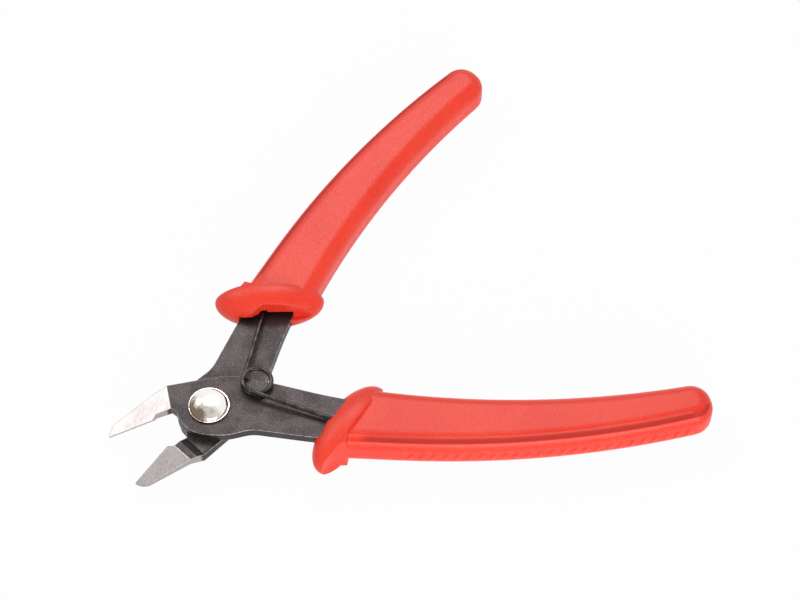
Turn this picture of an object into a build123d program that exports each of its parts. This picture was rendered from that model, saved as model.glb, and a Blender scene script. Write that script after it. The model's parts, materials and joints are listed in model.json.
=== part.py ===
"""Sprue nippers: two crossed stamped halves on a domed rivet, a wire spring and two moulded grips.

Millimetres, +Z up. The tool lies open on its back, jaws towards -X and handles towards +X.
Each half is drawn shut, with its cutting edge on the -X axis and the pivot at the origin,
then swung open about the pivot and moved so that the origin is the middle of the footprint.
Unless a name says front, a shut half is drawn with its jaw towards -Y and its handle towards +Y.
"""
import math
import os

from build123d import *

# Motion
OPEN_HALF = 17.0            # each half stands open by this angle, degrees
RUNNING_GAP = 0.04          # clearance of each sliding face, and of the rear half on the rivet
FIT_GAP = 0.02              # clearance of a piece fixed in its neighbour
WIRE_GAP = 0.10             # spring wire above the steel that it lies on

# Stamped halves
PLATE = 2.2                 # sheet thickness
HUB_R = 7.15                # hub edge from the pivot, on the side away from the throat
JAW_LENGTH = 22.35          # pivot to tip
EDGE_START = 12.55          # pivot to the inner end of the cutting edge
FLUSH_START = 8.15          # pivot to where the flush face leaves the front of the plate
FLUSH_ANGLE = 20.3          # slope of the flush face
TIP_THICKNESS = 0.65
JAW_WIDTH = 6.2             # width of each jaw where the rear flush face begins
RAMP_RUN = 1.6              # length of the rear jaw's bend up to its flush face
NOTCH_DEPTH = 1.2           # relief between cutting edge and throat
EDGE_GAP = 0.02             # each cutting edge off the middle when shut
EDGE_LAND = 0.35            # upright land under each cutting edge
EDGE_BEVEL = 35.0           # bevel behind the land, from upright
LEVER_ANGLE = 22.35         # lever from the tool's axis when shut
LEVER_START = 12.5          # along the lever from the pivot
LEVER_START_IN = 8.3        # lever's inner edge from the line through the pivot
LEVER_START_OUT = 4.02
LEVER_END_IN = 7.43
LEVER_END_OUT = 3.74
TANG_NECK = 7.0             # along the handle's curve
TANG_NECK_IN = 4.37         # tang's edges from the handle's curve
TANG_MID_IN = 3.9
TANG_MID_OUT = 4.9
TANG_END = 76.0             # along the handle's curve
TANG_END_WIDTH = 6.2

# Handle curve: straight along the lever, then one arc
BEND_START = 22.0           # along the lever from the pivot
BEND_R = 209.5
LEVER_OFFSET = 2.6          # curve's start passes this far inside the pivot

# Rivet
SHANK_R = 2.6
HEAD_R = 4.42
HEAD_RIM = 0.5
HEAD_HEIGHT = 2.15
TAIL_R = 4.0
TAIL_HEIGHT = 1.6

# Spring
WIRE = 1.0
COIL_R = 3.15               # to the middle of the wire
COIL_AT = 11.8              # coil's middle from the pivot
COIL_PITCH = 1.04
COIL_TURNS = 1              # whole turns, before the part turn between the legs
LEG_ANGLE = 49.5            # each leg from the tool's axis
LEG_LENGTH = 27.0
LEG_LEVEL_RUN = 1.8         # the rear leg stays level until it is past the front half

# Grips
GRIP_HALF_THICK = 4.65
GRIP_CORNER = 3.3
GRIP_START = -2.0           # along the handle's curve, before the flange trims it
GRIP_END_FRONT = 88.1
GRIP_END_REAR = 89.2
GRIP_START_WIDTH = 15.6
GRIP_END_WIDTH = 9.5
GRIP_END_CORNER = 4.6
GRIP_SWELL = 1.1            # extra width of the outer side at the flange
GRIP_SWELL_RUN = 20.0
CREASE_TILT = 34.0          # crease on the rounded long edges, from upright
CREASE_R = 1.8
CREASE_DEPTH = 0.3
CREASE_START = 10.0
CREASE_END = 82.0
FLANGE_AT = (29.45, 11.4)   # middle of the flange's ridge, shut
FLANGE_SLANT = 45.0         # ridge from the tool's axis
FLANGE_HALF_LENGTH = 12.25
FLANGE_HALF_THICK = 5.8
FLANGE_DOME = 6.2           # reach of the dome in front of the ridge, before the mouth cuts it
FLANGE_DEPTH = 5.3          # ridge to mouth
FLANGE_SWEEP = 1.0          # ridge swept back at its front and back
FLARE_TIP = (26.9, 10.3)    # hollow flare behind the ridge's outer end, along and across the lever
FLARE_MID = (28.1, 7.2)
FLARE_END = (31.5, 5.2)
FLARE_LAG = 1.6             # flare's fullest place behind the ridge
FLARE_HALF_THICK = 5.5
MOUTH_GAP = 1.5             # room above the lever at the mouth
MOUTH_DEPTH = 4.0
RECESS_DEPTH = 1.4          # the dome is cut back over the spring's leg
RECESS_INNER = -9.6         # along the ridge, inwards negative
RECESS_OUTER = 1.4
RECESS_SLOPE = 2.6          # the recess opens by this much towards the mouth
LEG_ROOM = 0.3              # round each leg inside its grip
POCKET_HEIGHT = 2.2

SIN, COS = math.sin(math.radians(LEVER_ANGLE)), math.cos(math.radians(LEVER_ANGLE))
LEVEL = RUNNING_GAP / 2     # each plate's mating face from the middle plane
FRONT_TOP = LEVEL + PLATE
FLUSH_SLOPE = math.tan(math.radians(FLUSH_ANGLE))
REAR_FACE = -FLUSH_START - 3.5
LEG_REST = WIRE / 2 + WIRE_GAP
BIG = 60.0


def lever_top(front):
    """Height of the front face of a half's lever."""
    return FRONT_TOP if front else -LEVEL


def on_lever(along, across):
    """Point of a shut half: along the lever from the pivot, across it outwards."""
    return (along * COS - across * SIN, along * SIN + across * COS)


def on_handle(s, across):
    """Point at distance s along the handle's curve and across it outwards."""
    turn = math.radians(LEVER_ANGLE) - s / BEND_R
    bend = on_lever(BEND_START, -LEVER_OFFSET)
    centre = (bend[0] + BEND_R * SIN, bend[1] - BEND_R * COS)
    reach = BEND_R + across
    return (centre[0] - reach * math.sin(turn), centre[1] + reach * math.cos(turn))


def swing(shape, front):
    """Open a shut piece of the front or the rear half."""
    return Rot(0, 0, -OPEN_HALF if front else OPEN_HALF) * shape


def flush_z(x):
    """Height of the flush face at x on a shut jaw."""
    return FRONT_TOP - FLUSH_SLOPE * (-FLUSH_START - x)


def back_z(x):
    """Height of the jaw's back at x on a shut jaw."""
    tip = flush_z(-JAW_LENGTH) - TIP_THICKNESS
    share = (-FLUSH_START - x) / (JAW_LENGTH - FLUSH_START)
    return LEVEL + share * (tip - LEVEL)


def tang_edges(room):
    """Inner edge, blunt end and outer edge of the tang, each moved outwards by room."""
    end = TANG_END_WIDTH / 2 + room
    far = TANG_END + room
    inner = [
        on_lever(BEND_START, -LEVER_END_IN - room),
        on_handle(TANG_NECK, -TANG_NECK_IN - room),
        on_handle(TANG_END / 2, -TANG_MID_IN - room),
        on_handle(far, -end),
    ]
    outer = [
        on_handle(far, end),
        on_handle(TANG_END / 2, TANG_MID_OUT + room),
        on_lever(BEND_START, LEVER_END_OUT + room),
    ]
    return [Spline(*inner), Line(inner[-1], outer[0]), Spline(*outer)]


def tang_outline(room):
    """Plan of the straight lever and the tang beyond it, with room all round."""
    inner = [
        on_lever(LEVER_START, -LEVER_START_IN - room),
        on_lever(BEND_START, -LEVER_END_IN - room),
    ]
    outer = [
        on_lever(BEND_START, LEVER_END_OUT + room),
        on_lever(LEVER_START, LEVER_START_OUT + room),
    ]
    return make_face([Line(*inner), *tang_edges(room), Line(*outer), Line(outer[1], inner[0])])


def steel_outline():
    """Plan of a shut half."""
    tip = (-JAW_LENGTH, -EDGE_GAP)
    nose = (-JAW_LENGTH + 1.75, -2.75)
    flank = (REAR_FACE, -JAW_WIDTH)
    heel = (-FLUSH_START - 0.25, -HUB_R)
    crotch = [(0.3, -HUB_R), (4.2, -HUB_R + 0.2), (7.9, -HUB_R + 1.0), (11.3, -HUB_R + 2.75)]
    lever_in = on_lever(LEVER_START, -LEVER_START_IN)
    lever_in_end = on_lever(BEND_START, -LEVER_END_IN)
    lever_out_end = on_lever(BEND_START, LEVER_END_OUT)
    lever_out = on_lever(LEVER_START, LEVER_START_OUT)
    shoulder = [(7.7, 7.85), (3.9, 7.95), (0.0, 7.5), (-2.8, 6.5), (-5.4, 4.6), (-6.75, 2.0), (-HUB_R, -0.1)]
    notch_in = (-FLUSH_START + 0.2, -NOTCH_DEPTH)
    notch_out = (-EDGE_START + 0.95, -NOTCH_DEPTH)
    edge_in = (-EDGE_START, -EDGE_GAP)
    edges = [
        Line(edge_in, tip),
        ThreePointArc(tip, (-JAW_LENGTH + 0.55, -1.6), nose),
        Line(nose, flank),
        Line(flank, heel),
        Line(heel, crotch[0]),
        Spline(*crotch, lever_in, tangents=[(1, 0), (COS, SIN)]),
        Line(lever_in, lever_in_end),
        *tang_edges(0),
        Line(lever_out_end, lever_out),
        Spline(lever_out, *shoulder, tangents=[(-COS, -SIN), (-0.1, -1)]),
        Line(shoulder[-1], notch_in),
        Line(notch_in, notch_out),
        Line(notch_out, edge_in),
    ]
    return make_face(edges)


def side_section(front):
    """Section of a half along the tool's axis: flat plate, then the sloping jaw."""
    tip = -JAW_LENGTH - 1.0
    if front:
        points = [
            (2 * BIG, FRONT_TOP),
            (-FLUSH_START, FRONT_TOP),
            (tip, flush_z(tip)),
            (tip, back_z(tip)),
            (-FLUSH_START, LEVEL),
            (2 * BIG, LEVEL),
        ]
    else:
        points = [
            (2 * BIG, -LEVEL),
            (-FLUSH_START, -LEVEL),
            (REAR_FACE + RAMP_RUN, flush_z(REAR_FACE)),
            (REAR_FACE, flush_z(REAR_FACE)),
            (tip, flush_z(tip)),
            (tip, back_z(tip)),
            (REAR_FACE, back_z(REAR_FACE)),
            (-FLUSH_START - 0.35, -LEVEL - PLATE),
            (2 * BIG, -LEVEL - PLATE),
        ]
    return make_face(Polyline(*[(x, 0, z) for x, z in points], close=True))


def edge_bevel(side):
    """Cutter behind the cutting edge of a shut jaw; side is +1 for a jaw towards +Y."""
    run = 4.0
    depth = run / math.tan(math.radians(EDGE_BEVEL))
    start = Vector(-EDGE_START + 0.9, side * EDGE_GAP, flush_z(-EDGE_START + 0.9))
    slope = math.radians(FLUSH_ANGLE)
    plane = Plane(origin=start, x_dir=(0, side, 0), z_dir=(-math.cos(slope), 0, -math.sin(slope)))
    down = -1 if plane.y_dir.Z > 0 else 1
    section = Polyline(
        (-1, down * EDGE_LAND),
        (0, down * EDGE_LAND),
        (run, down * (EDGE_LAND + depth)),
        (-1, down * (EDGE_LAND + depth)),
        close=True,
    )
    return extrude(plane * make_face(section), 14.0)


def steel_half(front):
    """One stamped half, swung open."""
    outline = steel_outline()
    if front:
        outline = mirror(outline, Plane.XZ)
    prism = extrude(outline, 12.0, both=True)
    body = prism & extrude(side_section(front), 2 * BIG, dir=(0, 1, 0), both=True)
    body -= Cylinder(SHANK_R + (FIT_GAP if front else RUNNING_GAP), 20)
    body -= edge_bevel(1 if front else -1)
    return swing(body, front)


def pivot_rivet():
    """Domed head in front, shank through both halves, low formed tail behind."""
    head = FRONT_TOP
    tail = -LEVEL - PLATE - RUNNING_GAP
    inset = HEAD_R - 0.14
    profile = make_face([
        Line((0, 0, tail - TAIL_HEIGHT), (TAIL_R - 2.3, 0, tail - TAIL_HEIGHT)),
        ThreePointArc(
            (TAIL_R - 2.3, 0, tail - TAIL_HEIGHT),
            (TAIL_R - 0.75, 0, tail - TAIL_HEIGHT + 0.5),
            (TAIL_R, 0, tail - 0.3),
        ),
        Line((TAIL_R, 0, tail - 0.3), (TAIL_R, 0, tail)),
        Line((TAIL_R, 0, tail), (SHANK_R, 0, tail)),
        Line((SHANK_R, 0, tail), (SHANK_R, 0, head)),
        Line((SHANK_R, 0, head), (HEAD_R, 0, head)),
        Line((HEAD_R, 0, head), (HEAD_R, 0, head + HEAD_RIM)),
        Line((HEAD_R, 0, head + HEAD_RIM), (inset, 0, head + HEAD_RIM)),
        Spline(
            (inset, 0, head + HEAD_RIM),
            (inset - 0.75, 0, head + HEAD_RIM + 0.95),
            (1.9, 0, head + HEAD_HEIGHT - 0.12),
            (0, 0, head + HEAD_HEIGHT),
            tangents=[(-0.35, 0, 1), (-1, 0, 0)],
        ),
        Line((0, 0, head + HEAD_HEIGHT), (0, 0, tail - TAIL_HEIGHT)),
    ])
    return revolve(profile, Axis.Z)


def leg_start():
    """Where the rear grip's leg leaves the coil, in plan and with the tool open."""
    first = math.radians(90 + LEG_ANGLE)
    return Vector(COIL_AT + COIL_R * math.cos(first), COIL_R * math.sin(first), 0)


def leg_points(side, high, rest, level_run):
    """Leg from the coil outwards, coming down from high to rest; side is +1 for the rear grip."""
    start = leg_start()
    angle = math.radians(LEG_ANGLE)
    points = []
    for step in range(1, 11):
        far = LEG_LENGTH * step / 10
        share = max(0.0, (far - level_run) / (LEG_LENGTH - level_run))
        x = start.X + far * math.cos(angle)
        y = side * (start.Y + far * math.sin(angle))
        points.append(Vector(x, y, high - (high - rest) * share))
    return points


def return_spring():
    """Torsion spring of round wire: a close coil and two straight legs."""
    first = math.radians(90 + LEG_ANGLE)
    sweep_angle = 2 * math.pi * COIL_TURNS + 2 * (math.pi - first)
    low = FRONT_TOP + LEG_REST
    rise = COIL_PITCH * sweep_angle / (2 * math.pi)
    coil = []
    for step in range(45):
        at = first + sweep_angle * step / 44
        z = low + rise * step / 44
        coil.append(Vector(COIL_AT + COIL_R * math.cos(at), COIL_R * math.sin(at), z))
    rear_leg = leg_points(1, low, lever_top(False) + LEG_REST, LEG_LEVEL_RUN)
    front_leg = leg_points(-1, low + rise, lever_top(True) + LEG_REST, 0)
    path = Spline(*rear_leg[::-1], *coil, *front_leg)
    section = Plane(origin=path @ 0, z_dir=path % 0) * Circle(WIRE / 2)
    return sweep(section, path=path)


def grip_half_width(s):
    """Half width of the grip at s along the handle's curve."""
    share = (s - GRIP_START) / (GRIP_END_FRONT - GRIP_START)
    return (GRIP_START_WIDTH + share * (GRIP_END_WIDTH - GRIP_START_WIDTH)) / 2


def grip_outer(s):
    """Outer side of the grip from the handle's curve: it swells towards the flange."""
    near = max(0.0, 1 - s / GRIP_SWELL_RUN)
    return grip_half_width(s) + GRIP_SWELL * near * near


def grip_body(front):
    """Curved sleeve with rounded long edges and a soft crease along its outer side."""
    last = GRIP_END_FRONT if front else GRIP_END_REAR
    stations = [GRIP_START, 3, 8, 14, 22, 40, 56, 72, last]
    outer = [on_handle(s, grip_outer(s)) for s in stations]
    inner = [on_handle(s, -grip_half_width(s)) for s in stations]
    plan = make_face([
        Spline(*outer),
        Line(outer[-1], inner[-1]),
        Spline(*inner[::-1]),
        Line(inner[0], outer[0]),
    ])
    end = Vector(*on_handle(last, 0))
    corners = [v for v in plan.vertices() if (v.center() - end).length < GRIP_END_WIDTH]
    plan = fillet(corners, GRIP_END_CORNER)
    body = extrude(plan, GRIP_HALF_THICK, both=True)
    mouth_end = Vector(*on_handle(GRIP_START, 0))
    level = [e for e in body.edges() if abs(abs(e.center().Z) - GRIP_HALF_THICK) < 0.01]
    long_edges = [e for e in level if (e.center() - mouth_end).length > 9]
    body = fillet(long_edges, GRIP_CORNER)
    return body - crease(1) - crease(-1)


def crease(side):
    """Cutter for the crease on the front (+1) or back (-1) of the outer side."""
    tilt = math.radians(CREASE_TILT)
    reach = GRIP_CORNER + CREASE_R - CREASE_DEPTH
    out = reach * math.sin(tilt) - GRIP_CORNER
    height = side * (GRIP_HALF_THICK - GRIP_CORNER + reach * math.cos(tilt))
    stations = [CREASE_START + (CREASE_END - CREASE_START) * k / 5 for k in range(6)]
    path = Spline(*[(*on_handle(s, grip_outer(s) + out), height) for s in stations])
    section = Plane(origin=path @ 0, z_dir=path % 0) * Circle(CREASE_R)
    return sweep(section, path=path) + Pos(path @ 0) * Sphere(CREASE_R) + Pos(path @ 1) * Sphere(CREASE_R)


def flange_place():
    """Location of the ridge's middle: x outwards along the ridge, y towards the grip's end."""
    slant = math.radians(FLANGE_SLANT)
    frame = Plane(
        origin=(*FLANGE_AT, 0),
        x_dir=(-math.cos(slant), math.sin(slant), 0),
        z_dir=(0, 0, -1),
    )
    return frame.location


def ahead_of(y):
    """Space in front of a line parallel to the ridge."""
    return flange_place() * Pos(0, y - BIG / 2, 0) * Box(BIG, BIG, BIG)


def slice_of_egg(half_length, half_thick, centre, first, last):
    """Slice of a round-bellied body lying along the ridge, fullest at y = centre."""
    sections = []
    for step in range(7):
        y = first + (last - first) * step / 6
        share = math.sqrt(1 - ((y - centre) / half_thick) ** 2)
        plane = Plane(origin=(0, y, 0), x_dir=(1, 0, 0), z_dir=(0, 1, 0))
        sections.append(plane * Ellipse(half_length * share, half_thick * share))
    return flange_place() * loft(sections)


def flange():
    """Domed guard in front of the grip, with a sharp ridge swept back at front and back."""
    lead = FLANGE_DOME - FLANGE_HALF_THICK
    dome = slice_of_egg(FLANGE_HALF_LENGTH, FLANGE_HALF_THICK, -lead, -FLANGE_DEPTH, FLANGE_SWEEP)
    sweep_r = GRIP_HALF_THICK ** 2 / (2 * FLANGE_SWEEP)
    bowl = Pos(0, sweep_r, 0) * Rot(0, 90, 0) * Cylinder(sweep_r, BIG)
    return dome - flange_place() * bowl


def flare():
    """Hollow flare between the ridge's outer end and the grip's outer side."""
    root = on_lever(FLARE_END[0], 0)
    foot = on_lever(FLARE_TIP[0], 0)
    tip = on_lever(*FLARE_TIP)
    end = on_lever(*FLARE_END)
    plan = make_face([
        ThreePointArc(tip, on_lever(*FLARE_MID), end),
        Line(end, root),
        Line(root, foot),
        Line(foot, tip),
    ])
    reach = FLARE_LAG + FLARE_HALF_THICK - 1.0
    hood = slice_of_egg(FLANGE_HALF_LENGTH - 0.1, FLARE_HALF_THICK, FLARE_LAG, 0, reach)
    return extrude(plan, BIG, both=True) & hood


def mouth(front):
    """Cutter above the lever where it enters the grip, with the recess over the spring's leg."""
    top = lever_top(front)
    slot = Pos(0, 0, top) * extrude(tang_outline(FIT_GAP), MOUTH_GAP)
    slot = slot & ahead_of(MOUTH_DEPTH - FLANGE_DEPTH)
    wall = -FLANGE_DEPTH + RECESS_DEPTH
    recess = make_face(Polyline(
        (RECESS_INNER, wall),
        (RECESS_OUTER, wall),
        (RECESS_OUTER + RECESS_SLOPE, -FLANGE_DEPTH),
        (RECESS_OUTER + RECESS_SLOPE, -BIG),
        (RECESS_INNER, -BIG),
        close=True,
    ))
    recess = flange_place() * extrude(recess, BIG, dir=(0, 0, -1))
    lift = Pos(0, 0, top + BIG / 2) * Box(4 * BIG, 4 * BIG, BIG)
    return slot + (recess & lift)


def leg_pocket(front):
    """Cutter for the end of the spring's leg inside the grip, with the half drawn shut."""
    width = WIRE + 2 * LEG_ROOM
    run = Pos(LEG_LENGTH * 3 / 4, 0, POCKET_HEIGHT / 2) * Box(LEG_LENGTH / 2 + 2 * LEG_ROOM, width, POCKET_HEIGHT)
    placed = Pos(leg_start()) * Rot(0, 0, LEG_ANGLE) * run
    return Rot(0, 0, -OPEN_HALF) * Pos(0, 0, lever_top(front)) * placed


def grip(front):
    """Moulded grip, drawn with its handle towards +Y and at its own lever's height."""
    body = grip_body(front) - ahead_of(-1.0) + flange() + flare()
    low = lever_top(front) - PLATE - FIT_GAP
    body -= Pos(0, 0, low) * extrude(tang_outline(FIT_GAP), PLATE + 2 * FIT_GAP)
    return body - mouth(front) - leg_pocket(front)


def main():
    os.makedirs("parts", exist_ok=True)
    pieces = {
        "front_blade_lever": steel_half(True),
        "rear_blade_lever": steel_half(False),
        "pivot_rivet": pivot_rivet(),
        "return_spring": return_spring(),
        "front_grip": swing(mirror(grip(True), Plane.XZ), True),
        "rear_grip": swing(grip(False), False),
    }
    box = Compound(list(pieces.values())).bounding_box()
    base = Pos(-(box.min.X + box.max.X) / 2, -(box.min.Y + box.max.Y) / 2, -box.min.Z)
    print("pivot at", tuple(round(v, 4) for v in base.position), "size", box.size)
    for name, piece in pieces.items():
        placed = base * piece
        export_step(placed, f"parts/{name}.step")
        print(name, len(placed.solids()), round(placed.volume, 2), placed.is_valid)


main()
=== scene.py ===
"""Sprue nippers: blackened steel halves with ground jaws, a plated rivet, a wire spring and red grips."""

import json
import math

import bmesh
import bpy
from mathutils import Matrix, Vector


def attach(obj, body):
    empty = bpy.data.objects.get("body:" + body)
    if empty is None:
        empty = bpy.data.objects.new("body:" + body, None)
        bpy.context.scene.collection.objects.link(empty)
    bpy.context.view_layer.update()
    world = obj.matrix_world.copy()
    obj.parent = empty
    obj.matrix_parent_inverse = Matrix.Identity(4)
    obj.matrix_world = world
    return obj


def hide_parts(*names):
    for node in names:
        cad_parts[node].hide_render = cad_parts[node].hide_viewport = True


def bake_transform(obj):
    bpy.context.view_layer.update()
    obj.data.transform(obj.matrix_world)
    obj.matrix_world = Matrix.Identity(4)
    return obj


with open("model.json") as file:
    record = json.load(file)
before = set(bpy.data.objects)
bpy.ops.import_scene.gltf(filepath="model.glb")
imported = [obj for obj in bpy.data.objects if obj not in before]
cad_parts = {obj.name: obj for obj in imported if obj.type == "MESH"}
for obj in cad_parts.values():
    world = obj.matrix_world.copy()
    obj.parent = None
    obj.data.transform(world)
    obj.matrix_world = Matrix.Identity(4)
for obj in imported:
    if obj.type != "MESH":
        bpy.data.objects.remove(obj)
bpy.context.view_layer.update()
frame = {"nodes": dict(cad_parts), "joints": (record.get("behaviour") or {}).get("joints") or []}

MM = 0.001
PIVOT = Vector(frame["joints"][0]["pos_m"])
OPEN_HALF = math.radians(17.0)

# Flush faces of the shut tool, from the pivot
PLATE_FRONT = 2.22 * MM
FLUSH_START = -8.15 * MM
FLUSH_SLOPE = math.radians(20.3)

# Handle's curve
LEVER_ANGLE = math.radians(22.35)
BEND_START = 22.0 * MM
BEND_RADIUS = 209.5 * MM
LEVER_INSET = 2.6 * MM

# Spring
WIRE_RADIUS = 0.5 * MM
COIL_RADIUS = 3.15 * MM
COIL_AT = 11.8 * MM
COIL_LOW = 2.82 * MM
COIL_RISE = 1.04 * MM
LEG_ANGLE = math.radians(49.5)
LEG_LENGTH = 27.0 * MM
FRONT_REST = 2.82 * MM
REAR_REST = 0.58 * MM
REAR_LEVEL_RUN = 1.8 * MM
LEG_STEPS = 40

WIRE_SIDES = 20
COIL_STEPS = 72

# Grip's width, its swell next to the guard, and the run of each from the mouth
GRIP_START = -2.0 * MM
GRIP_LENGTH = 90.1 * MM
GRIP_START_WIDTH = 15.6 * MM
GRIP_TAPER = 6.1 * MM
GRIP_SWELL = 1.1 * MM
SWELL_RUN = 20.0 * MM

# Heights of the crease in the grip's outer side, from mid height
CREASE_TOP = 4.62 * MM
CREASE_VALLEY = 3.85 * MM
CREASE_FOOT = 3.56 * MM

# Ribs on the outer side of each grip
RIB_COUNT = 25
RIB_FIRST = 22.4 * MM
RIB_PITCH = 2.44 * MM
RIB_HEIGHT = -0.6 * MM
RIB_SUNK = 0.26 * MM
RIB_HALF_WIDTH = 0.72 * MM
RIB_HALF_DEPTH = 0.52 * MM
RIB_HALF_REACH = 1.8 * MM
RIB_SLANT = math.radians(22)
GUIDE_STEPS = 60
GUIDE_SPARE = 0.3

# Studio: the floor's share of plain white, the world's strength on the object, and the lens
FLOOR_SIZE = 3.0
FLOOR_WHITE = 0.97
WORLD_FILL = 0.42
LENS_LENGTH = 108.0
LENS_DISTANCE = 0.5408
LENS_TILT = 55.76
LENS_TURN = 29.09
LENS_AIM = Vector((0.04157, 0.0295, 0.0))


# ---------- places on the tool ----------

def turned(point, angle):
    """Point turned about the pivot's axis."""
    return Matrix.Rotation(angle, 3, "Z") @ Vector(point)


def on_shut_half(point, front):
    """Place in the open tool of a point of the shut tool whose handle is towards +Y."""
    x, y, z = point
    if front:
        return PIVOT + turned((x, -y, z), -OPEN_HALF)
    return PIVOT + turned((x, y, z), OPEN_HALF)


def on_handle(along, across, height, front):
    """Place at a distance along the handle's curve, across it outwards and up from mid height."""
    sin, cos = math.sin(LEVER_ANGLE), math.cos(LEVER_ANGLE)
    start_x = BEND_START * cos + LEVER_INSET * sin
    start_y = BEND_START * sin - LEVER_INSET * cos
    turn = LEVER_ANGLE - along / BEND_RADIUS
    reach = BEND_RADIUS + across
    x = start_x + BEND_RADIUS * sin - reach * math.sin(turn)
    y = start_y - BEND_RADIUS * cos + reach * math.cos(turn)
    return on_shut_half((x, y, height), front)


def grip_outer(along):
    """Outer side of the grip from the handle's curve."""
    half = (GRIP_START_WIDTH - GRIP_TAPER * (along - GRIP_START) / GRIP_LENGTH) / 2
    near = max(0.0, 1 - along / SWELL_RUN)
    return half + GRIP_SWELL * near * near


# ---------- material helpers ----------

def new_material(name):
    """Empty material with its output and Principled BSDF."""
    material = bpy.data.materials.new(name)
    material.use_nodes = True
    tree = material.node_tree
    tree.nodes.clear()
    output = tree.nodes.new("ShaderNodeOutputMaterial")
    skin = tree.nodes.new("ShaderNodeBsdfPrincipled")
    tree.links.new(skin.outputs["BSDF"], output.inputs["Surface"])
    return material, tree, skin


def new_group(name, inputs, outputs):
    """Shader node group with named sockets; inputs are (name, kind, value), outputs (name, kind)."""
    tree = bpy.data.node_groups.new(name, "ShaderNodeTree")
    for label, kind, value in inputs:
        socket = tree.interface.new_socket(name=label, in_out="INPUT", socket_type=kind)
        socket.default_value = value
    for label, kind in outputs:
        tree.interface.new_socket(name=label, in_out="OUTPUT", socket_type=kind)
    source = tree.nodes.new("NodeGroupInput")
    sink = tree.nodes.new("NodeGroupOutput")
    return tree, source, sink


def place_group(tree, group, **values):
    """Group node in a material with its own values, words joined by underscores."""
    node = tree.nodes.new("ShaderNodeGroup")
    node.node_tree = group
    for label, value in values.items():
        node.inputs[label.replace("_", " ")].default_value = value
    return node


def calc(tree, operation, first, second=None, third=None):
    """Math node; each operand is a socket or a number."""
    node = tree.nodes.new("ShaderNodeMath")
    node.operation = operation
    for socket, value in zip(node.inputs, (first, second, third)):
        if value is None:
            continue
        if isinstance(value, bpy.types.NodeSocket):
            tree.links.new(value, socket)
        else:
            socket.default_value = value
    return node.outputs[0]


def ramp(tree, value, low, high, to_low=0.0, to_high=1.0):
    """Smooth step of a value from to_low at low to to_high at high."""
    node = tree.nodes.new("ShaderNodeMapRange")
    node.interpolation_type = "SMOOTHSTEP"
    tree.links.new(value, node.inputs["Value"])
    node.inputs["From Min"].default_value = low
    node.inputs["From Max"].default_value = high
    node.inputs["To Min"].default_value = to_low
    node.inputs["To Max"].default_value = to_high
    return node.outputs["Result"]


def tint(tree, factor, first, second):
    """Mix of two colours; each is a socket or a colour."""
    node = tree.nodes.new("ShaderNodeMix")
    node.data_type = "RGBA"
    tree.links.new(factor, node.inputs["Factor"])
    for socket, value in ((node.inputs[6], first), (node.inputs[7], second)):
        if isinstance(value, bpy.types.NodeSocket):
            tree.links.new(value, socket)
        else:
            socket.default_value = (*value, 1.0)
    return node.outputs[2]


def noise(tree, scale, detail=3.0, stretch=None, angle=0.0):
    """Noise on Object coordinates, scale per metre, optionally stretched and turned about Z."""
    coords = tree.nodes.new("ShaderNodeTexCoord")
    mapping = tree.nodes.new("ShaderNodeMapping")
    mapping.vector_type = "TEXTURE"
    mapping.inputs["Rotation"].default_value = (0, 0, angle)
    mapping.inputs["Scale"].default_value = stretch or (1, 1, 1)
    node = tree.nodes.new("ShaderNodeTexNoise")
    node.inputs["Scale"].default_value = scale
    node.inputs["Detail"].default_value = detail
    tree.links.new(coords.outputs["Object"], mapping.inputs["Vector"])
    tree.links.new(mapping.outputs["Vector"], node.inputs["Vector"])
    return node.outputs["Fac"]


def bump(tree, skin, height, distance, strength=1.0, normal=None):
    """Bump on a material's normal; distance in metres."""
    node = tree.nodes.new("ShaderNodeBump")
    node.inputs["Distance"].default_value = distance
    node.inputs["Strength"].default_value = strength
    tree.links.new(height, node.inputs["Height"])
    if normal is not None:
        tree.links.new(normal, node.inputs["Normal"])
    tree.links.new(node.outputs["Normal"], skin.inputs["Normal"])


# ---------- shared effects ----------

def make_edge_rub_and_highlight():
    """Mask along the edges of a piece, broken up by noise, for edges that are partly rubbed and partly a
    painted highlight, and the rounded normal there.
    """
    tree, source, sink = new_group(
        "edge rub and highlight",
        [("Radius", "NodeSocketFloat", 0.0002), ("Break Up", "NodeSocketFloat", 900.0)],
        [("Mask", "NodeSocketFloat"), ("Normal", "NodeSocketVector")],
    )
    rounded = tree.nodes.new("ShaderNodeBevel")
    rounded.samples = 6
    tree.links.new(source.outputs["Radius"], rounded.inputs["Radius"])
    plain = tree.nodes.new("ShaderNodeNewGeometry")
    facing = tree.nodes.new("ShaderNodeVectorMath")
    facing.operation = "DOT_PRODUCT"
    tree.links.new(rounded.outputs["Normal"], facing.inputs[0])
    tree.links.new(plain.outputs["Normal"], facing.inputs[1])
    edge = ramp(tree, facing.outputs["Value"], 0.995, 0.93)
    coords = tree.nodes.new("ShaderNodeTexCoord")
    patches = tree.nodes.new("ShaderNodeTexNoise")
    patches.inputs["Detail"].default_value = 2.0
    tree.links.new(coords.outputs["Object"], patches.inputs["Vector"])
    tree.links.new(source.outputs["Break Up"], patches.inputs["Scale"])
    kept = ramp(tree, patches.outputs["Fac"], 0.35, 0.6, 0.35, 1.0)
    tree.links.new(calc(tree, "MULTIPLY", edge, kept), sink.inputs["Mask"])
    tree.links.new(rounded.outputs["Normal"], sink.inputs["Normal"])
    return tree


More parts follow.
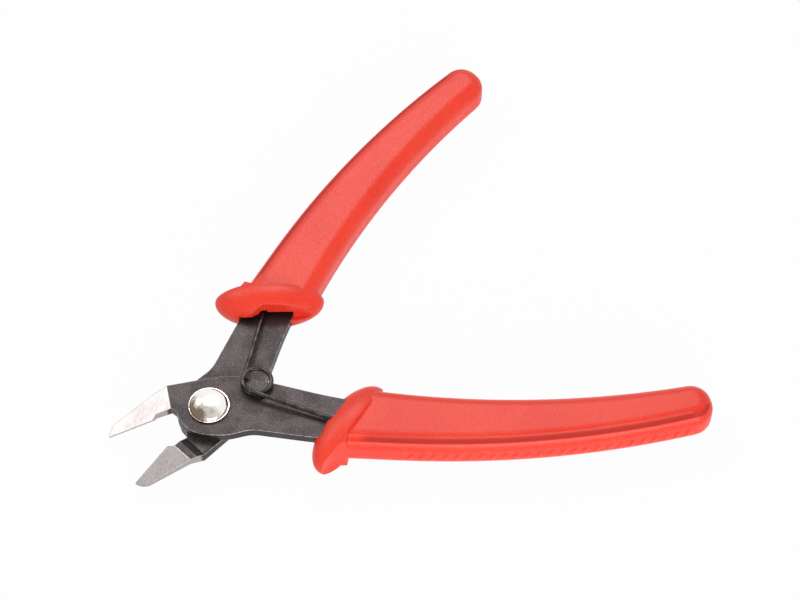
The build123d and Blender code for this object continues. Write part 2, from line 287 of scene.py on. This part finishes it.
def make_smudges():
    """Slow roughness variation and fine specks, from 0 to 1."""
    tree, source, sink = new_group(
        "smudges and specks",
        [("Smudge Scale", "NodeSocketFloat", 120.0), ("Speck Scale", "NodeSocketFloat", 2500.0)],
        [("Smudge", "NodeSocketFloat"), ("Specks", "NodeSocketFloat")],
    )
    coords = tree.nodes.new("ShaderNodeTexCoord")
    for label, detail, low, high in (("Smudge", 4.0, 0.35, 0.65), ("Specks", 2.0, 0.5, 0.72)):
        cloud = tree.nodes.new("ShaderNodeTexNoise")
        cloud.inputs["Detail"].default_value = detail
        tree.links.new(coords.outputs["Object"], cloud.inputs["Vector"])
        tree.links.new(source.outputs[label.rstrip("s") + " Scale"], cloud.inputs["Scale"])
        tree.links.new(ramp(tree, cloud.outputs["Fac"], low, high), sink.inputs[label])
    return tree


EDGE_RUB_AND_HIGHLIGHT = make_edge_rub_and_highlight()
SMUDGES = make_smudges()


def distance_from(tree, point, direction):
    """Signed distance in metres of the surface point from a plane in the tool's own frame."""
    coords = tree.nodes.new("ShaderNodeTexCoord")
    shift = tree.nodes.new("ShaderNodeVectorMath")
    shift.operation = "SUBTRACT"
    shift.inputs[1].default_value = point
    dot = tree.nodes.new("ShaderNodeVectorMath")
    dot.operation = "DOT_PRODUCT"
    dot.inputs[1].default_value = direction
    tree.links.new(coords.outputs["Object"], shift.inputs[0])
    tree.links.new(shift.outputs["Vector"], dot.inputs[0])
    return dot.outputs["Value"]


def upright_wall(tree):
    """1 on walls that stand upright, 0 on faces that lie flat."""
    geometry = tree.nodes.new("ShaderNodeNewGeometry")
    parts = tree.nodes.new("ShaderNodeSeparateXYZ")
    tree.links.new(geometry.outputs["Normal"], parts.inputs["Vector"])
    return ramp(tree, calc(tree, "ABSOLUTE", parts.outputs["Z"]), 0.45, 0.2)


# ---------- finishes ----------

def blackened_steel(name, front):
    """Black oxide on the plate; paler edges, partly worn and partly a painted highlight; bright ground
    flush face and jaw walls.
    """
    material, tree, skin = new_material(name)
    swing = -OPEN_HALF if front else OPEN_HALF
    flat = turned((-math.sin(FLUSH_SLOPE), 0, math.cos(FLUSH_SLOPE)), swing)
    start = PIVOT + turned((FLUSH_START, 0, PLATE_FRONT), swing)
    outwards = turned((-1, 0, 0), swing)
    off_face = calc(tree, "ABSOLUTE", distance_from(tree, start, flat))
    on_face = ramp(tree, off_face, 0.07 * MM, 0.03 * MM)
    ahead = ramp(tree, distance_from(tree, PIVOT, outwards), 8.1 * MM, 8.3 * MM)
    ground_face = calc(tree, "MULTIPLY", on_face, ahead)
    far = ramp(tree, distance_from(tree, PIVOT, outwards), 8.7 * MM, 9.4 * MM)
    ground_wall = calc(tree, "MULTIPLY", upright_wall(tree), far)
    ground = calc(tree, "MAXIMUM", ground_face, ground_wall)
    rubbed_and_highlit_edges = place_group(tree, EDGE_RUB_AND_HIGHLIGHT, Radius=0.22 * MM, Break_Up=1400.0)
    marks = place_group(tree, SMUDGES, Smudge_Scale=220.0, Speck_Scale=3600.0)
    oxide = tint(tree, marks.outputs["Smudge"], (0.05, 0.041, 0.042), (0.06, 0.05, 0.051))
    oxide = tint(tree, marks.outputs["Specks"], oxide, (0.125, 0.108, 0.108))
    # Pale edges: partly worn oxide, partly a painted highlight along the edges.
    oxide = tint(tree, rubbed_and_highlit_edges.outputs["Mask"], oxide, (0.6, 0.57, 0.55))
    lines = noise(tree, 7000.0, 2.0, (1, 30, 1), math.radians(-31))
    bright = tint(tree, ramp(tree, lines, 0.3, 0.7), (0.37, 0.335, 0.328), (0.46, 0.42, 0.41))
    tree.links.new(tint(tree, ground, oxide, bright), skin.inputs["Base Color"])
    rough = ramp(tree, marks.outputs["Smudge"], 0.0, 1.0, 0.5, 0.42)
    rough = calc(tree, "SUBTRACT", rough, calc(tree, "MULTIPLY", ground, 0.18))
    tree.links.new(rough, skin.inputs["Roughness"])
    skin.inputs["Metallic"].default_value = 0.9
    grain = noise(tree, 5200.0, 4.0)
    groove = calc(tree, "MULTIPLY", ramp(tree, lines, 0.3, 0.7), ground)
    height = calc(tree, "ADD", calc(tree, "MULTIPLY", grain, 0.6), groove)
    bump(tree, skin, height, 0.012 * MM, 0.7, rubbed_and_highlit_edges.outputs["Normal"])
    return material


def plated_rivet():
    """Polished plate with a painted dark brownish reflection on its lower-left side, mottled by noise, and
    faint scratches.
    """
    material, tree, skin = new_material("polished rivet plate")
    marks = place_group(tree, SMUDGES, Smudge_Scale=420.0, Speck_Scale=5200.0)
    # Painted reflection: the lower-left side of the head is darkened to brown and mottled by noise.
    reflection_side = ramp(tree, distance_from(tree, PIVOT, (-0.93, -0.36, 0.0)), -0.6 * MM, 2.4 * MM)
    painted_reflection = calc(tree, "MULTIPLY", reflection_side, ramp(tree, marks.outputs["Smudge"], 0, 0.7, 0.45, 1.0))
    colour = tint(tree, painted_reflection, (0.93, 0.9, 0.85), (0.2, 0.15, 0.115))
    tree.links.new(colour, skin.inputs["Base Color"])
    skin.inputs["Metallic"].default_value = 1.0
    tree.links.new(ramp(tree, marks.outputs["Smudge"], 0, 1, 0.11, 0.2), skin.inputs["Roughness"])
    scratches = noise(tree, 2600.0, 3.0, (1, 9, 1), 0.5)
    bump(tree, skin, scratches, 0.004 * MM, 0.5)
    return material


def spring_wire():
    """Dark drawn wire with slow tone changes, speckled roughness and a fine bump."""
    material, tree, skin = new_material("blackened spring wire")
    marks = place_group(tree, SMUDGES, Smudge_Scale=600.0, Speck_Scale=5000.0)
    colour = tint(tree, marks.outputs["Smudge"], (0.03, 0.027, 0.026), (0.07, 0.064, 0.061))
    tree.links.new(colour, skin.inputs["Base Color"])
    skin.inputs["Metallic"].default_value = 0.95
    tree.links.new(ramp(tree, marks.outputs["Specks"], 0, 1, 0.2, 0.34), skin.inputs["Roughness"])
    bump(tree, skin, noise(tree, 7000.0, 2.0), 0.003 * MM, 0.5)
    return material


def painted_crease_shade(tree, front):
    """Mask of painted shade in the crease along the grip's outer side: fades in from the broad face, ends
    sharply below.
    """
    centre = on_handle(0, -BEND_RADIUS, 0, front)
    coords = tree.nodes.new("ShaderNodeTexCoord")
    shift = tree.nodes.new("ShaderNodeVectorMath")
    shift.operation = "SUBTRACT"
    shift.inputs[1].default_value = centre
    tree.links.new(coords.outputs["Object"], shift.inputs[0])
    flat = tree.nodes.new("ShaderNodeVectorMath")
    flat.operation = "MULTIPLY"
    flat.inputs[1].default_value = (1, 1, 0)
    tree.links.new(shift.outputs["Vector"], flat.inputs[0])
    far = tree.nodes.new("ShaderNodeVectorMath")
    far.operation = "LENGTH"
    tree.links.new(flat.outputs["Vector"], far.inputs[0])
    outer = ramp(tree, far.outputs["Value"], BEND_RADIUS + 1.0 * MM, BEND_RADIUS + 2.0 * MM)
    height = calc(tree, "ABSOLUTE", distance_from(tree, PIVOT, (0, 0, 1)))
    fading = ramp(tree, height, CREASE_TOP, CREASE_VALLEY)
    ending = ramp(tree, height, CREASE_FOOT - 0.06 * MM, CREASE_FOOT + 0.06 * MM)
    reach = tree.nodes.new("ShaderNodeVectorMath")
    reach.operation = "DISTANCE"
    reach.inputs[1].default_value = PIVOT
    tree.links.new(coords.outputs["Object"], reach.inputs[0])
    behind_guard = ramp(tree, reach.outputs["Value"], 33.0 * MM, 37.0 * MM)
    line = calc(tree, "MULTIPLY", fading, ending)
    return calc(tree, "MULTIPLY", calc(tree, "MULTIPLY", outer, behind_guard), line)


def moulded_grip(name, front):
    """Satin red moulding: grained faces, pebbled sides, paler edges (partly rubbed, partly a painted
    highlight) and painted shade in the crease.
    """
    material, tree, skin = new_material(name)
    marks = place_group(tree, SMUDGES, Smudge_Scale=70.0, Speck_Scale=2600.0)
    rubbed_and_highlit_edges = place_group(tree, EDGE_RUB_AND_HIGHLIGHT, Radius=0.42 * MM, Break_Up=600.0)
    crease_shade_mask = painted_crease_shade(tree, front)
    red = tint(tree, marks.outputs["Smudge"], (0.92, 0.032, 0.009), (0.98, 0.045, 0.016))
    red = tint(tree, calc(tree, "MULTIPLY", marks.outputs["Specks"], 0.5), red, (0.99, 0.12, 0.075))
    # Slightly paler edges: partly rubbed, partly a painted highlight.
    red = tint(tree, calc(tree, "MULTIPLY", rubbed_and_highlit_edges.outputs["Mask"], 0.1), red, (0.97, 0.14, 0.1))
    # Painted shade: the crease is darkened towards deep red.
    red = tint(tree, calc(tree, "MULTIPLY", crease_shade_mask, 0.75), red, (0.42, 0.012, 0.006))
    tree.links.new(red, skin.inputs["Base Color"])
    rough = ramp(tree, marks.outputs["Specks"], 0, 1, 0.33, 0.44)
    tree.links.new(calc(tree, "MULTIPLY_ADD", crease_shade_mask, 0.25, rough), skin.inputs["Roughness"])
    skin.inputs["Specular IOR Level"].default_value = 0.44
    pebble = tree.nodes.new("ShaderNodeTexVoronoi")
    pebble.feature = "SMOOTH_F1"
    pebble.inputs["Scale"].default_value = 3600.0
    coords = tree.nodes.new("ShaderNodeTexCoord")
    tree.links.new(coords.outputs["Object"], pebble.inputs["Vector"])
    side = calc(tree, "MULTIPLY_ADD", upright_wall(tree), 0.5, 0.5)
    height = calc(tree, "MULTIPLY", pebble.outputs["Distance"], side)
    height = calc(tree, "ADD", height, calc(tree, "MULTIPLY", noise(tree, 2800.0, 3.0), 0.5))
    bump(tree, skin, height, 0.09 * MM, 0.9, rubbed_and_highlit_edges.outputs["Normal"])
    return material


def dress(node, material):
    """Give a carried CAD node its finish."""
    mesh = frame["nodes"][node].data
    mesh.materials.clear()
    mesh.materials.append(material)


# ---------- spring ----------

def tube(name, path, radius):
    """Closed round wire along a list of points."""
    mesh = bpy.data.meshes.new(name)
    shape = bmesh.new()
    side = Vector((0, 0, 1))
    rings = []
    for step, point in enumerate(path):
        ahead = path[min(step + 1, len(path) - 1)] - path[max(step - 1, 0)]
        ahead.normalize()
        side = (side - ahead * side.dot(ahead)).normalized()
        other = ahead.cross(side)
        ring = []
        for k in range(WIRE_SIDES):
            angle = 2 * math.pi * k / WIRE_SIDES
            offset = math.cos(angle) * side + math.sin(angle) * other
            ring.append(shape.verts.new(point + radius * offset))
        rings.append(ring)
    for near, far in zip(rings, rings[1:]):
        for k in range(WIRE_SIDES):
            following = (k + 1) % WIRE_SIDES
            shape.faces.new((near[k], near[following], far[following], far[k]))
    shape.faces.new(rings[0][::-1])
    shape.faces.new(rings[-1])
    bmesh.ops.recalc_face_normals(shape, faces=shape.faces)
    shape.to_mesh(mesh)
    shape.free()
    for face in mesh.polygons:
        face.use_smooth = len(face.vertices) == 4
    piece = bpy.data.objects.new(name, mesh)
    bpy.context.scene.collection.objects.link(piece)
    return piece


def coil_points():
    """Middle of the wire round the coil, from the rear leg to the front leg."""
    first = math.pi / 2 + LEG_ANGLE
    sweep = 2 * math.pi + 2 * (math.pi - first)
    points = []
    for step in range(COIL_STEPS + 1):
        at = first + sweep * step / COIL_STEPS
        height = COIL_LOW + COIL_RISE * (at - first) / (2 * math.pi)
        place = Vector((COIL_AT + COIL_RADIUS * math.cos(at), COIL_RADIUS * math.sin(at), height))
        points.append(PIVOT + place)
    return points


def leg_points(start, side, rest, level_run):
    """Middle of the wire of one leg, from the coil outwards and down to its lever."""
    out = Vector((math.cos(LEG_ANGLE), side * math.sin(LEG_ANGLE), 0))
    drop = start.z - PIVOT.z - rest
    points = []
    for step in range(LEG_STEPS + 1):
        far = LEG_LENGTH * step / LEG_STEPS
        share = max(0.0, (far - level_run) / (LEG_LENGTH - level_run))
        points.append(start + out * far - Vector((0, 0, drop * share)))
    return points


def make_spring(material):
    """Coil and two legs that stand for the CAD spring.

    The coil and the legs are baked in place as they stand.
    """
    coil = coil_points()
    rear = leg_points(coil[0], 1, REAR_REST, REAR_LEVEL_RUN)
    front = leg_points(coil[-1], -1, FRONT_REST, 0.0)
    pieces = {
        "spring_coil": tube("spring_coil", coil, WIRE_RADIUS),
        "spring_rear_leg": tube("spring_rear_leg", rear, WIRE_RADIUS),
        "spring_front_leg": tube("spring_front_leg", front, WIRE_RADIUS),
    }
    for piece in pieces.values():
        piece.data.materials.append(material)
        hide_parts("return_spring")
    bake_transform(pieces["spring_coil"])
    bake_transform(pieces["spring_rear_leg"])
    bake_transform(pieces["spring_front_leg"])


# ---------- ribs ----------

def rib_tree(material):
    """Geometry Nodes: a rounded rib at each step of a guide curve, lying across it."""
    tree = bpy.data.node_groups.new("ribs along a curve", "GeometryNodeTree")
    sizes = (
        ("Pitch", RIB_PITCH),
        ("Half Width", RIB_HALF_WIDTH),
        ("Half Depth", RIB_HALF_DEPTH),
        ("Half Reach", RIB_HALF_REACH),
        ("Slant", RIB_SLANT),
    )
    tree.interface.new_socket(name="Geometry", in_out="INPUT", socket_type="NodeSocketGeometry")
    for label, value in sizes:
        socket = tree.interface.new_socket(name=label, in_out="INPUT", socket_type="NodeSocketFloat")
        socket.default_value = value
    tree.interface.new_socket(name="Geometry", in_out="OUTPUT", socket_type="NodeSocketGeometry")
    new = tree.nodes.new
    source, sink = new("NodeGroupInput"), new("NodeGroupOutput")
    guide = new("GeometryNodeCurveToPoints")
    guide.mode = "LENGTH"
    rib = new("GeometryNodeMeshUVSphere")
    rib.inputs["Segments"].default_value = 20
    rib.inputs["Rings"].default_value = 12
    rib.inputs["Radius"].default_value = 1.0
    size = new("ShaderNodeCombineXYZ")
    slant = new("ShaderNodeCombineXYZ")
    shaped = new("GeometryNodeTransform")
    turn = new("FunctionNodeAlignRotationToVector")
    turn.axis = "X"
    turn.pivot_axis = "Z"
    copies = new("GeometryNodeInstanceOnPoints")
    real = new("GeometryNodeRealizeInstances")
    smooth = new("GeometryNodeSetShadeSmooth")
    painted = new("GeometryNodeSetMaterial")
    painted.inputs["Material"].default_value = material
    link = tree.links.new
    link(source.outputs["Geometry"], guide.inputs["Curve"])
    link(source.outputs["Pitch"], guide.inputs["Length"])
    link(source.outputs["Half Width"], size.inputs["X"])
    link(source.outputs["Half Depth"], size.inputs["Y"])
    link(source.outputs["Half Reach"], size.inputs["Z"])
    link(source.outputs["Slant"], slant.inputs["Y"])
    link(rib.outputs["Mesh"], shaped.inputs["Geometry"])
    link(size.outputs["Vector"], shaped.inputs["Scale"])
    link(slant.outputs["Vector"], shaped.inputs["Rotation"])
    link(guide.outputs["Tangent"], turn.inputs["Vector"])
    link(guide.outputs["Points"], copies.inputs["Points"])
    link(shaped.outputs["Geometry"], copies.inputs["Instance"])
    link(turn.outputs["Rotation"], copies.inputs["Rotation"])
    link(copies.outputs["Instances"], real.inputs["Geometry"])
    link(real.outputs["Geometry"], smooth.inputs["Geometry"])
    link(smooth.outputs["Geometry"], painted.inputs["Geometry"])
    link(painted.outputs["Geometry"], sink.inputs["Geometry"])
    return tree


def make_ribs(name, front, material):
    """Row of ribs on the outer side of one grip, its guide a little longer than the last rib's place."""
    run = RIB_PITCH * (RIB_COUNT - 1 + GUIDE_SPARE)
    curve = bpy.data.curves.new(name + "_guide", "CURVE")
    curve.dimensions = "3D"
    spline = curve.splines.new("POLY")
    spline.points.add(GUIDE_STEPS)
    for step in range(GUIDE_STEPS + 1):
        along = RIB_FIRST + run * step / GUIDE_STEPS
        place = on_handle(along, grip_outer(along) - RIB_SUNK, RIB_HEIGHT, front)
        spline.points[step].co = (*place, 1.0)
    guide = bpy.data.objects.new(name + "_guide", curve)
    bpy.context.scene.collection.objects.link(guide)
    modifier = guide.modifiers.new("ribs", "NODES")
    modifier.node_group = rib_tree(material)
    for item in modifier.node_group.interface.items_tree:
        if item.in_out == "INPUT" and item.socket_type == "NodeSocketFloat":
            modifier[item.identifier] = item.default_value
    bpy.context.view_layer.update()
    graph = bpy.context.evaluated_depsgraph_get()
    mesh = bpy.data.meshes.new_from_object(guide.evaluated_get(graph), depsgraph=graph)
    mesh.name = name
    bpy.data.objects.remove(guide)
    ribs = bpy.data.objects.new(name, mesh)
    bpy.context.scene.collection.objects.link(ribs)
    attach(ribs, "front_half" if front else "rear_half")
    return ribs


# ---------- stage ----------

def seen_directly(tree):
    """1 to the camera and in reflections and glass, 0 to everything else."""
    path = tree.nodes.new("ShaderNodeLightPath")
    seen = calc(tree, "MAXIMUM", path.outputs["Is Camera Ray"], path.outputs["Is Glossy Ray"])
    return calc(tree, "MAXIMUM", seen, path.outputs["Is Transmission Ray"])


def make_stage():
    """Pale floor that keeps a faint shadow, and a pale world."""
    reach = FLOOR_SIZE / 2
    corners = [(-reach, -reach, 0), (reach, -reach, 0), (reach, reach, 0), (-reach, reach, 0)]
    mesh = bpy.data.meshes.new("floor")
    mesh.from_pydata(corners, [], [(0, 1, 2, 3)])
    floor = bpy.data.objects.new("floor", mesh)
    bpy.context.scene.collection.objects.link(floor)
    material = bpy.data.materials.new("pale floor")
    material.use_nodes = True
    tree = material.node_tree
    tree.nodes.clear()
    output = tree.nodes.new("ShaderNodeOutputMaterial")
    matte = tree.nodes.new("ShaderNodeBsdfDiffuse")
    matte.inputs["Color"].default_value = (0.86, 0.86, 0.86, 1)
    glow = tree.nodes.new("ShaderNodeEmission")
    glow.inputs["Color"].default_value = (1, 1, 1, 1)
    mix = tree.nodes.new("ShaderNodeMixShader")
    seen = seen_directly(tree)
    tree.links.new(calc(tree, "MULTIPLY", seen, FLOOR_WHITE), mix.inputs["Fac"])
    tree.links.new(matte.outputs["BSDF"], mix.inputs[1])
    tree.links.new(glow.outputs["Emission"], mix.inputs[2])
    tree.links.new(mix.outputs["Shader"], output.inputs["Surface"])
    mesh.materials.append(material)

    world = bpy.data.worlds.new("pale studio")
    bpy.context.scene.world = world
    world.use_nodes = True
    tree = world.node_tree
    background = tree.nodes["Background"]
    background.inputs["Color"].default_value = (1, 1, 1, 1)
    seen = seen_directly(tree)
    tree.links.new(ramp(tree, seen, 0.0, 1.0, WORLD_FILL, 1.0), background.inputs["Strength"])


def lamp(name, place, aim, width, height, power, colour=(1, 1, 1)):
    """Rectangular soft lamp."""
    data = bpy.data.lights.new(name, "AREA")
    data.shape = "RECTANGLE"
    data.size = width
    data.size_y = height
    data.energy = power
    data.color = colour
    light = bpy.data.objects.new(name, data)
    light.location = place
    light.rotation_euler = (Vector(aim) - Vector(place)).to_track_quat("-Z", "Y").to_euler()
    bpy.context.scene.collection.objects.link(light)
    return light


def make_lamps():
    """Soft lamps: one for the ground blade faces, one behind and above, and a low one in front."""
    middle = (0.0, 0.0, 0.01)
    lamp("blade softbox", (-0.31, 0.66, 0.71), middle, 0.5, 0.34, 1.7)
    lamp("back softbox", (0.36, 0.6, 0.98), middle, 0.5, 0.4, 3.3)
    lamp("front softbox", (-0.25, -0.92, 0.27), middle, 0.8, 0.42, 5.8)


def make_camera():
    """Long lens looking down at the open tool from the side of the front handle."""
    tilt = math.radians(LENS_TILT)
    turn = -math.radians(LENS_TURN)
    aim = PIVOT + turned(LENS_AIM, turn)
    back = turned((0, -math.cos(tilt), math.sin(tilt)), turn)
    right = turned((1, 0, 0), turn)
    up = back.cross(right)
    data = bpy.data.cameras.new("camera")
    data.sensor_width = 36.0
    data.lens = LENS_LENGTH
    data.clip_start = 0.01
    camera = bpy.data.objects.new("camera", data)
    facing = Matrix((right, up, back)).transposed().to_4x4()
    camera.matrix_world = Matrix.Translation(aim + back * LENS_DISTANCE) @ facing
    bpy.context.scene.collection.objects.link(camera)
    bpy.context.scene.camera = camera


# ---------- making ----------

make_camera()
make_stage()
make_lamps()
dress("front_blade_lever", blackened_steel("front blackened steel", True))
dress("rear_blade_lever", blackened_steel("rear blackened steel", False))
dress("pivot_rivet", plated_rivet())
front_red = moulded_grip("front satin red", True)
rear_red = moulded_grip("rear satin red", False)
dress("front_grip", front_red)
dress("rear_grip", rear_red)
make_spring(spring_wire())
make_ribs("front_grip_ribs", True, front_red)
make_ribs("rear_grip_ribs", False, rear_red)
bpy.context.scene.view_settings.view_transform = "Standard"
